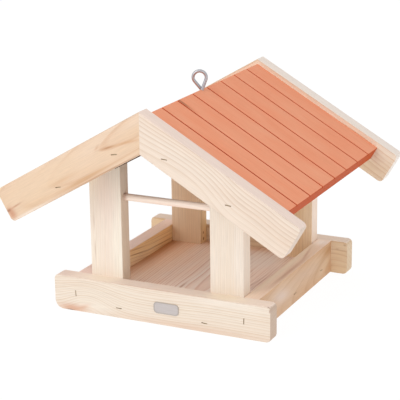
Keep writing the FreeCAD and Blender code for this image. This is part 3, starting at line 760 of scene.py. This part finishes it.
def ended(tree, shape, material):
    """Ends a tree with real geometry in its material."""
    real = add(tree, "GeometryNodeRealizeInstances", {"Geometry": shape})
    dressed = add(tree, "GeometryNodeSetMaterial", {"Geometry": real, "Material": material})
    add(tree, "NodeGroupOutput", {0: dressed})
    return tree


# Trees have their sizes in metres. The grooves are 0.4 mm wider than the frame's, so that they show.
PANEL_SIZES = {
    "Front to rear": BETWEEN_BARGES * MM, "Ridge to eave": (PANEL_REACH - PANEL_SINK * math.tan(PITCH)) * MM,
    "Thickness": PANEL_THICK * MM, "Pitch": PITCH, "Grooves": GROOVE_COUNT,
    "Groove spacing": GROOVE_PITCH * MM, "First groove": GROOVE_FIRST * MM, "Groove width": 0.0024,
    "Groove depth": 0.0025, "Eased": 0.0008, "Stain": None}
POINTS_PER_GROOVE = 6
NEAR = 0.0001  # what lies this near to the ridge or the eave belongs to it


def panel_tree():
    """A grooved roof panel. x runs from one barge board to the other, y down the slope, z out of it."""
    tree, size = new_tree("Grooved roof panel", PANEL_SIZES)
    # The section across the grooves: six points for each groove, and one at each end
    points = add(tree, "ShaderNodeMath", {0: size["Grooves"], 1: POINTS_PER_GROOVE, 2: 2.0},
                 operation="MULTIPLY_ADD")
    line = add(tree, "GeometryNodeMeshLine", {"Count": points})
    index = add(tree, "GeometryNodeInputIndex")
    inner = add(tree, "ShaderNodeMath", {0: index, 1: 1.0}, operation="SUBTRACT")
    passed = add(tree, "ShaderNodeMath", {0: inner, 1: POINTS_PER_GROOVE}, operation="DIVIDE")
    which = add(tree, "ShaderNodeMath", {0: passed}, operation="FLOOR")
    within = add(tree, "ShaderNodeMath", {0: inner, 1: POINTS_PER_GROOVE}, operation="FLOORED_MODULO")
    centred = add(tree, "ShaderNodeMath", {0: within, 1: (POINTS_PER_GROOVE - 1) / 2}, operation="SUBTRACT")
    side = add(tree, "ShaderNodeMath", {0: centred}, operation="SIGN")
    outness = add(tree, "ShaderNodeMath", {0: centred}, operation="ABSOLUTE")
    # From the middle of a groove outwards: its floor, its lip, and the face beside it
    beside = add(tree, "ShaderNodeMath", {0: outness, 1: 2.0}, operation="GREATER_THAN")
    floor = add(tree, "ShaderNodeMath", {0: outness, 1: 1.0}, operation="LESS_THAN")
    half_lip = add(tree, "ShaderNodeMath", {0: size["Eased"], 1: 0.5}, operation="MULTIPLY")
    half_width = add(tree, "ShaderNodeMath", {0: size["Groove width"], 1: 0.5}, operation="MULTIPLY")
    reach = add(tree, "ShaderNodeMath", {0: beside, 1: half_lip, 2: half_width}, operation="MULTIPLY_ADD")
    offset = add(tree, "ShaderNodeMath", {0: side, 1: reach}, operation="MULTIPLY")
    groove = add(tree, "ShaderNodeMath", {0: which, 1: size["Groove spacing"], 2: size["First groove"]},
                 operation="MULTIPLY_ADD")
    across = add(tree, "ShaderNodeMath", {0: groove, 1: offset})
    sunk = add(tree, "ShaderNodeMath", {0: 1.0, 1: beside}, operation="SUBTRACT")
    deep = add(tree, "ShaderNodeMix", {"Factor": floor, "A": half_lip, "B": size["Groove depth"]})
    fall = add(tree, "ShaderNodeMath", {0: deep, 1: sunk}, operation="MULTIPLY")
    down = add(tree, "ShaderNodeMath", {0: fall, 1: -1.0}, operation="MULTIPLY")
    where = add(tree, "ShaderNodeCombineXYZ", {"X": across, "Z": down})
    section = add(tree, "GeometryNodeSetPosition", {"Geometry": line, "Position": where})
    last = add(tree, "ShaderNodeMath", {0: points, 1: 1.0}, operation="SUBTRACT")
    for at, x in ((0.0, 0.0), (last, size["Front to rear"])):
        here = add(tree, "FunctionNodeCompare", {"A": index, "B": at}, data_type="FLOAT", operation="EQUAL")
        end = add(tree, "ShaderNodeCombineXYZ", {"X": x})
        section = add(tree, "GeometryNodeSetPosition", {
            "Geometry": section, "Selection": here, "Position": end})
    # Down, by any length, and then all level on the flat underside, which gives the end face
    downward = add(tree, "ShaderNodeCombineXYZ", {"Z": -0.1})
    drop = add(tree, "GeometryNodeExtrudeMesh", {"Mesh": section, "Offset": downward, "Offset Scale": 1.0},
               mode="EDGES")
    apart = add(tree, "ShaderNodeSeparateXYZ", {0: add(tree, "GeometryNodeInputPosition")}).outputs
    under = add(tree, "ShaderNodeMath", {0: size["Thickness"], 1: -1.0}, operation="MULTIPLY")
    underside = add(tree, "ShaderNodeCombineXYZ", {"X": apart[0], "Z": under})
    face = add(tree, "GeometryNodeSetPosition", {
        "Geometry": drop, "Selection": drop.outputs["Top"], "Position": underside})
    # Along the slope to just short of the eave, and then the eased edge
    long = add(tree, "ShaderNodeMath", {0: size["Ridge to eave"], 1: size["Eased"]}, operation="SUBTRACT")
    to_eave = add(tree, "ShaderNodeCombineXYZ", {"Y": 1.0})
    run = add(tree, "GeometryNodeExtrudeMesh", {
        "Mesh": face, "Offset": to_eave, "Offset Scale": long, "Individual": False}, mode="FACES")
    edge = add(tree, "GeometryNodeExtrudeMesh", {
        "Mesh": run, "Selection": run.outputs["Top"], "Offset": to_eave, "Offset Scale": size["Eased"],
        "Individual": False}, mode="FACES")
    behind = add(tree, "GeometryNodeFlipFaces", {"Mesh": face})
    whole = add(tree, "GeometryNodeJoinGeometry", {0: edge})
    tree.links.new(behind.outputs[0], whole.inputs[0])
    closed = add(tree, "GeometryNodeMergeByDistance", {"Geometry": whole, "Distance": NEAR / 10})
    low = add(tree, "ShaderNodeMath", {0: size["Eased"], 1: -1.0}, operation="MULTIPLY")
    eased = add(tree, "ShaderNodeMath", {0: apart[2], 1: low}, operation="MINIMUM")
    short = add(tree, "ShaderNodeMath", {0: size["Ridge to eave"], 1: NEAR}, operation="SUBTRACT")
    at_eave = add(tree, "FunctionNodeCompare", {"A": apart[1], "B": short}, data_type="FLOAT",
                  operation="GREATER_THAN")
    lowered = add(tree, "ShaderNodeCombineXYZ", {"X": apart[0], "Y": apart[1], "Z": eased})
    turned = add(tree, "GeometryNodeSetPosition", {
        "Geometry": closed, "Selection": at_eave, "Position": lowered})
    # The upper end is cut upright, so that the two panels meet in a mitre
    slope = add(tree, "ShaderNodeMath", {0: size["Pitch"]}, operation="TANGENT")
    back = add(tree, "ShaderNodeMath", {0: apart[2], 1: slope}, operation="MULTIPLY")
    downhill = add(tree, "ShaderNodeMath", {0: back, 1: -1.0}, operation="MULTIPLY")
    at_ridge = add(tree, "FunctionNodeCompare", {"A": apart[1], "B": NEAR}, data_type="FLOAT",
                   operation="LESS_THAN")
    upright = add(tree, "ShaderNodeCombineXYZ", {"X": apart[0], "Y": downhill, "Z": apart[2]})
    mitred = add(tree, "GeometryNodeSetPosition", {
        "Geometry": turned, "Selection": at_ridge, "Position": upright})
    return ended(tree, mitred, size["Stain"])


def roof_panel(side, tree, material):
    """One roof panel, laid on its slope between the barge boards."""
    # Its first groove is counted from the front on the right, and so from the rear on the left
    first = GROOVE_FIRST
    if side == "left":
        first = BETWEEN_BARGES - GROOVE_FIRST - (GROOVE_COUNT - 1) * GROOVE_PITCH
    sizes = dict(PANEL_SIZES, **{"First groove": first * MM, "Stain": material})
    piece = grown(f"roof_panel_{side}_grooved", bpy.data.meshes.new("start"), tree, sizes)
    across = BACKWARD if side == "right" else -BACKWARD
    corner = Vector((0, 0, APEX - PANEL_SINK / COS)) - across * (BETWEEN_BARGES / 2)
    turn = Matrix((across, down_slope(side), off_slope(side))).transposed().to_4x4()
    piece.data.transform(Matrix.Translation(corner * MM) @ turn)
    return piece


# A driven staple lies askew: one end of its crown sits deeper in the wood than the other
STAPLE_SIZES = {"Crown": 0.006, "Leg": 0.006, "Bend": 0.0008, "Wire width": 0.0009, "Wire thickness": 0.0006,
                "Steel": None}
SLOT_WIDTH, SLOT_DEPTH, CROWN_SINK = 1.1, 1.2, 0.5


def staple_tree():
    """Staples, one at each point, with the crown along one direction and the legs driven in."""
    tree, size = new_tree("Staples", STAPLE_SIZES)
    # Four points: a foot, the crown's two corners, the other foot
    line = add(tree, "GeometryNodeMeshLine", {"Count": 4})
    centred = add(tree, "ShaderNodeMath", {0: add(tree, "GeometryNodeInputIndex"), 1: 1.5},
                  operation="SUBTRACT")
    side = add(tree, "ShaderNodeMath", {0: centred}, operation="SIGN")
    half_crown = add(tree, "ShaderNodeMath", {0: size["Crown"], 1: 0.5}, operation="MULTIPLY")
    out = add(tree, "ShaderNodeMath", {0: side, 1: half_crown}, operation="MULTIPLY")
    outness = add(tree, "ShaderNodeMath", {0: centred}, operation="ABSOLUTE")
    foot = add(tree, "ShaderNodeMath", {0: outness, 1: 1.0}, operation="GREATER_THAN")
    down = add(tree, "ShaderNodeMath", {0: foot, 1: size["Leg"]}, operation="MULTIPLY")
    depth = add(tree, "ShaderNodeMath", {0: down, 1: -1.0}, operation="MULTIPLY")
    where = add(tree, "ShaderNodeCombineXYZ", {"X": out, "Z": depth})
    bent = add(tree, "GeometryNodeSetPosition", {"Geometry": line, "Position": where})
    wire = add(tree, "GeometryNodeMeshToCurve", {"Mesh": bent})
    soft = add(tree, "GeometryNodeFilletCurve", {"Curve": wire, "Radius": size["Bend"], "Count": 3},
               mode="POLY")
    section = add(tree, "GeometryNodeCurvePrimitiveQuadrilateral", {
        "Width": size["Wire thickness"], "Height": size["Wire width"]})
    one = add(tree, "GeometryNodeCurveToMesh", {"Curve": soft, "Profile Curve": section, "Fill Caps": True})
    outward = add(tree, "GeometryNodeInputNamedAttribute", {"Name": "outward"}, data_type="FLOAT_VECTOR")
    along = add(tree, "GeometryNodeInputNamedAttribute", {"Name": "along"}, data_type="FLOAT_VECTOR")
    turn = add(tree, "FunctionNodeAxesToRotation", {"Primary Axis": outward, "Secondary Axis": along},
               primary_axis="Z", secondary_axis="X")
    set_in = add(tree, "GeometryNodeInstanceOnPoints", {
        "Points": size["Geometry"], "Instance": one, "Rotation": turn})
    return ended(tree, set_in, size["Steel"])


Staple = namedtuple("Staple", "board place outward along set_outward set_along")


def on_board(board, place, outward, along, tilt, askew):
    """A staple: the board it is driven into, its place on the face, and the way its crown lies.
    askew is how far, in degrees, the end that its crown points to stands out of the wood."""
    along = Matrix.Rotation(math.radians(tilt), 3, outward) @ along
    lifted = Matrix.Rotation(math.radians(askew), 3, along.cross(outward))
    return Staple(board, place, outward, along, lifted @ outward, lifted @ along)


# Run along the rail, height above its underside, crown's direction, tilt and skew in degrees
RAIL_STAPLES = {
    "front_rail": (-BACKWARD, ((-105.4, 21, UP, 3, 4), (101.9, 20, UP, -2, -4),
                               (-50.5, 11.4, ACROSS, 0, -5), (55, 10.4, ACROSS, -4, 5))),
    "rear_rail": (BACKWARD, ((-103, 19.5, UP, -3, 3), (104, 20.5, UP, 2, -4),
                             (-54, 11, ACROSS, 3, 4), (51, 10.6, ACROSS, 0, -3))),
    "right_rail": (ACROSS, ((-6, 11.7, BACKWARD, 4, 5), (77.9, 12.6, BACKWARD, -3, 5))),
    "left_rail": (-ACROSS, ((-70, 11.5, BACKWARD, 2, -4), (12, 10.8, BACKWARD, -2, 4))),
}
# Run down the slope, depth below the upper edge, tilt and skew in degrees
BARGE_STAPLES = {
    ("front", "left"): ((51.0, 26.8, 11, 5), (133.5, 29.6, 13, 5)),
    ("front", "right"): ((48.4, 27.3, -5, 5), (131.6, 26.7, -6, 0)),
    ("rear", "left"): ((50, 28.2, 5, 4), (132, 27.4, -3, -4)),
    ("rear", "right"): ((52, 27, 8, -5), (130, 29, 2, 4)),
}
STAPLES = []
for rail, (outward, places) in RAIL_STAPLES.items():
    with_rail = BACKWARD if outward.x else ACROSS
    face = outward * max(outward.dot(corner) for corner in box_mm(rail))
    for run, height, crown, tilt, askew in places:
        STAPLES.append(on_board(rail, face + with_rail * run + UP * height, outward, crown, tilt, askew))
for (end, side), places in BARGE_STAPLES.items():
    outward = -BACKWARD if end == "front" else BACKWARD
    for run, depth, tilt, askew in places:
        place = on_gable(side, run, depth, ROOF_DEPTH / 2 * outward.y)
        STAPLES.append(on_board(f"barge_{end}_{side}", place, outward, ACROSS, tilt, askew))


def staples(tree, steel):
    """All the staples as one piece, their crowns just below the face of the wood."""
    mesh = bpy.data.meshes.new("staple_places")
    mesh.from_pydata([(staple.place - staple.outward * CROWN_SINK) * MM for staple in STAPLES], [], [])
    for name in ("outward", "along"):
        kept = mesh.attributes.new(name, "FLOAT_VECTOR", "POINT")
        vectors = [getattr(staple, f"set_{name}") for staple in STAPLES]
        kept.data.foreach_set("vector", [number for vector in vectors for number in vector])
    return grown("staples", mesh, tree, dict(STAPLE_SIZES, Steel=steel))


def staple_slots(board, piece, bruised):
    """Cuts the slots that the staples of one board were punched into."""
    half, side = (STAPLE_SIZES["Crown"] / MM + SLOT_WIDTH) / 2, SLOT_WIDTH / 2
    corners = [(x, y, SLOT_WIDTH * 0.45) for x, y in (
        (-half, -side), (half, -side), (half, side), (-half, side))]
    cutters = []
    for staple in STAPLES:
        if staple.board != board:
            continue
        slot = prism("slot", rounded(corners, 4), 2 * SLOT_DEPTH, staple.place, staple.along,
                     staple.outward.cross(staple.along))
        slot.data.materials.append(bruised)
        cut = piece.modifiers.new("Slot", "BOOLEAN")
        cut.object, cut.operation, cut.solver = slot, "DIFFERENCE", "EXACT"
        cut.material_mode = "TRANSFER"
        cutters.append(slot)
    if cutters:
        settle(piece)
    for slot in cutters:
        bpy.data.objects.remove(slot)


THREAD_SIZES = {"Length": 0.018, "Pitch": 0.0021, "Core": 0.0017, "Height": 0.0005, "Point": 0.006,
                "Steel": None}
COIL_STEPS = 28  # in one turn


def thread_tree():
    """The thread of the screw eye: a ridge that winds up the shank and dies away to the point."""
    tree, size = new_tree("Screw thread", THREAD_SIZES)
    turns = add(tree, "ShaderNodeMath", {0: size["Length"], 1: size["Pitch"]}, operation="DIVIDE")
    coil = add(tree, "GeometryNodeCurveSpiral", {
        "Resolution": COIL_STEPS, "Rotations": turns, "Start Radius": size["Core"],
        "End Radius": size["Core"], "Height": size["Length"]})
    place = add(tree, "GeometryNodeInputPosition")
    up = add(tree, "ShaderNodeSeparateXYZ", {0: place}).outputs["Z"]
    full = add(tree, "ShaderNodeMath", {0: up, 1: size["Point"]}, operation="DIVIDE", use_clamp=True)
    shrunk = add(tree, "ShaderNodeCombineXYZ", {"X": full, "Y": full, "Z": 1.0})
    drawn_in = add(tree, "ShaderNodeVectorMath", {0: place, 1: shrunk}, operation="MULTIPLY")
    tapered = add(tree, "GeometryNodeSetPosition", {"Geometry": coil, "Position": drawn_in})
    ridge = add(tree, "GeometryNodeCurvePrimitiveCircle", {"Resolution": 4, "Radius": size["Height"]})
    wound = add(tree, "GeometryNodeCurveToMesh", {
        "Curve": tapered, "Profile Curve": ridge, "Fill Caps": True})
    return ended(tree, wound, size["Steel"])


# The screw eye, the perch and the plate

# The wire, the ring's radius to the wire's middle, the neck below the ridge and the shank below the neck
EYE_WIRE, EYE_RING, EYE_NECK, EYE_SHANK = 3.8, 7.4, 1.0, 22.0
EYE_MIDDLE = Vector((-2.1, 13.6))  # the ring's middle, across and above the ridge
EYE_ALONG_RIDGE, EYE_TURN = -13, math.radians(25)
EYE_PLACE = (Matrix.Translation(Vector((0, EYE_ALONG_RIDGE, APEX - PANEL_SINK / COS)) * MM)
             @ Matrix.Rotation(EYE_TURN, 4, "Z"))
# The shank from its point up: height, and share of the wire's thickness, less where the thread is
SHANK = ((0, 0.12), (2.5, 0.62), (5, 0.9), (8, 0.9), (12, 0.9), (16, 0.9), (19, 1.0))
# How far the second strand lies behind the first, as it leaves the ring and at the neck
BEHIND_RING, BEHIND_NECK = 2.4, 3.5


def screw_eye():
    """The eye: one wire that runs up from the point, round the ring and back down beside its own shank.
    The ring was bent a little to the left of the shank."""
    foot = Vector((0, -EYE_NECK))
    apart = foot - EYE_MIDDLE
    facing = math.atan2(apart.y, apart.x)
    spread = math.acos(EYE_RING / apart.length)
    path = [(0, 0, foot.y - EYE_SHANK + height, thick) for height, thick in SHANK]
    # At the neck the wire leans to the right, away from the ring's middle
    path += [(0.05, 0, foot.y - 1.2, 1), (0.3, 0, foot.y, 1)]
    steps = 56
    for step in range(steps + 1):
        turn = facing + spread + 2 * (math.pi - spread) * step / steps
        # The wire drifts backwards, most of all near the ring's end, so that it passes behind the shank
        path.append((EYE_MIDDLE.x + EYE_RING * math.cos(turn), BEHIND_RING * (step / steps) ** 3,
                     EYE_MIDDLE.y + EYE_RING * math.sin(turn), 1))
    last = path[-1]
    for left in (0.75, 0.5, 0.25, 0.06):
        path.append((last[0] * left, BEHIND_NECK + (BEHIND_RING - BEHIND_NECK) * left,
                     foot.y + (last[2] - foot.y) * left, 1))
    curve = bpy.data.curves.new("eye_wire", "CURVE")
    curve.dimensions = "3D"
    curve.bevel_depth = EYE_WIRE / 2 * MM
    curve.bevel_resolution = 6
    curve.use_fill_caps = True
    wire = curve.splines.new("POLY")
    wire.points.add(len(path) - 1)
    for point, (x, y, z, thick) in zip(wire.points, path):
        point.co = (x * MM, y * MM, z * MM, 1)
        point.radius = thick
    guide = bpy.data.objects.new("eye_wire", curve)
    bpy.context.scene.collection.objects.link(guide)
    mesh = bpy.data.meshes.new_from_object(guide.evaluated_get(bpy.context.evaluated_depsgraph_get()))
    bpy.data.objects.remove(guide)
    shape = bmesh.new()
    shape.from_mesh(mesh)
    bpy.data.meshes.remove(mesh)
    bmesh.ops.remove_doubles(shape, verts=shape.verts, dist=0.001 * MM)
    bmesh.ops.recalc_face_normals(shape, faces=shape.faces)
    shape.transform(EYE_PLACE)
    piece = finished("screw_eye", shape)
    piece.data.polygons.foreach_set("use_smooth", [True] * len(piece.data.polygons))
    piece.data.set_sharp_from_angle(angle=math.radians(50))
    return piece


PERCH_BREAK = 0.8  # the dowel's broken ends
SOCKET_DEPTH, SOCKET_PLAY, SOCKET_GAP = 10, 0.35, 0.1  # hole, play round the dowel and gap past its end


def perch():
    """The perch: a turned dowel with its ends broken, in its sockets."""
    low, high = box_mm("perch_dowel")
    middle, half, radius = (low + high) / 2, (high.x - low.x) / 2, (high.z - low.z) / 2
    straight = half - PERCH_BREAK
    stations = [(-half, radius - PERCH_BREAK)]
    stations += [(straight * (step / 8 - 1), radius) for step in range(17)]
    stations += [(half, radius - PERCH_BREAK)]
    shape = bmesh.new()
    sides = 40
    turns = [2 * math.pi * side / sides for side in range(sides)]
    rings = [[shape.verts.new((middle + Vector((x, r * math.cos(turn), r * math.sin(turn)))) * MM)
              for turn in turns] for x, r in stations]
    for before, after in zip(rings, rings[1:]):
        for s in range(sides):
            shape.faces.new((before[s], before[(s + 1) % sides], after[(s + 1) % sides], after[s]))
    shape.faces.new(reversed(rings[0]))
    shape.faces.new(rings[-1])
    bmesh.ops.recalc_face_normals(shape, faces=shape.faces)
    return finished("perch_turned_dowel", shape)


def perch_socket(piece, side):
    """The blind hole for the perch in a front post's inner face, a loose fit round the dowel."""
    low, high = box_mm("perch_dowel")
    radius = (high.z - low.z) / 2 + SOCKET_PLAY
    inner_face = high.x - SOCKET_DEPTH if side == "right" else low.x + SOCKET_DEPTH
    drill = bmesh.new()
    bmesh.ops.create_cone(drill, cap_ends=True, segments=40, radius1=radius, radius2=radius,
                          depth=2 * (SOCKET_DEPTH + SOCKET_GAP))
    place = Matrix.Translation((inner_face, (low.y + high.y) / 2, (low.z + high.z) / 2))
    drill.transform(Matrix.Scale(MM, 4) @ place @ Matrix.Rotation(math.pi / 2, 4, "Y"))
    cutter = finished("socket", drill)
    cut = piece.modifiers.new("Socket", "BOOLEAN")
    cut.object, cut.operation, cut.solver = cutter, "DIFFERENCE", "EXACT"
    settle(piece)
    bpy.data.objects.remove(cutter)


PLATE_CORNER, PLATE_EASE = 4, 0.2
RIM_WIDTH, RIM_SLOPE, RIM_HEIGHT = 0.8, 0.3, 0.25


def blank_plate(face_metal, rim_metal):
    """The small plate: bare, with rounded corners and a darker rim pressed up round its edge."""
    low, high = box_mm("front_plate")
    middle, half = (low + high) / 2, (high - low) / 2
    corners = [(x, z, PLATE_CORNER) for x, z in (
        (-half.x, -half.z), (half.x, -half.z), (half.x, half.z), (-half.x, half.z))]
    piece = prism("blank_plate", rounded(corners), 2 * half.y, middle, ACROSS, UP,
                  lambda a, b: same(a, b, "z") and a.z > 0, PLATE_EASE, 2)
    shape = bmesh.new()
    shape.from_mesh(piece.data)
    front = max((face for face in shape.faces if face.normal.y < -0.9), key=lambda face: face.calc_area())
    bmesh.ops.inset_region(shape, faces=[front], thickness=RIM_WIDTH * MM)
    bmesh.ops.inset_region(shape, faces=[front], thickness=RIM_SLOPE * MM, depth=-RIM_HEIGHT * MM)
    for face in shape.faces:
        face.material_index = 1
    front.material_index = 0
    piece.data.materials.append(face_metal)
    piece.data.materials.append(rim_metal)
    shape.to_mesh(piece.data)
    shape.free()
    return piece


camera()
studio()

# Every board, with the wood that it is cut from
BOARDS = {}
for end, material in (("front", FRONT_RAIL), ("rear", REAR_RAIL)):
    BOARDS[f"{end}_rail"] = cross_rail(end), material
for side, material in (("left", LEFT_RAIL), ("right", RIGHT_RAIL)):
    BOARDS[f"{side}_rail"] = long_board(f"{side}_rail_board", f"{side}_rail"), material
BOARDS["floor_board"] = long_board("floor_planed_board", "floor_board", FLOOR_EASE), FLOOR_BOARD
for side, material in (("left", BARGE_FRONT_LEFT), ("right", BARGE_FRONT_RIGHT)):
    BOARDS[f"barge_front_{side}"] = barge_board("front", side), material
for side, material in (("left", BARGE_REAR_LEFT), ("right", BARGE_REAR_RIGHT)):
    BOARDS[f"barge_rear_{side}"] = barge_board("rear", side), material
for end, side, material in (("front", "left", POST_FRONT_LEFT), ("front", "right", POST_FRONT_RIGHT),
                            ("rear", "left", POST_REAR_LEFT), ("rear", "right", POST_REAR_RIGHT)):
    BOARDS[f"post_{end}_{side}"] = post(end, side), material
for side in ("left", "right"):
    for level in BATTEN_STARTS:
        BOARDS[f"batten_{level}_{side}"] = batten(level, side), BATTENS[f"batten_{level}_{side}"]
for side in ("left", "right"):
    perch_socket(BOARDS[f"post_front_{side}"][0], side)

for node, (piece, material) in BOARDS.items():
    piece.data.materials.append(material)
    staple_slots(node, piece, BRUISED)
    dress(smooth(piece), material, "planed_pine", node)

grooved = panel_tree()
for side, material in (("left", ROOF_LEFT), ("right", ROOF_RIGHT)):
    panel = smooth(roof_panel(side, grooved, material), angle=30)
    dress(panel, material, "stained_pine", f"roof_panel_{side}")

dress(smooth(perch(), angle=40), PERCH, "planed_pine", "perch_dowel")
dress(smooth(blank_plate(PLATE_FACE, PLATE_RIM), angle=40), PLATE_FACE, "plate_aluminium", "front_plate")
dress(screw_eye(), ZINC, "zinc_plated_steel", "eye_screw")
thread = grown("screw_eye_thread", bpy.data.meshes.new("start"), thread_tree(),
               dict(THREAD_SIZES, Steel=ZINC))
thread.data.transform(EYE_PLACE @ Matrix.Translation((0, 0, -(EYE_NECK + EYE_SHANK) * MM)))
dress(thread, ZINC, "zinc_plated_steel")
dress(staples(staple_tree(), STAPLE_STEEL), STAPLE_STEEL, "zinc_plated_steel")
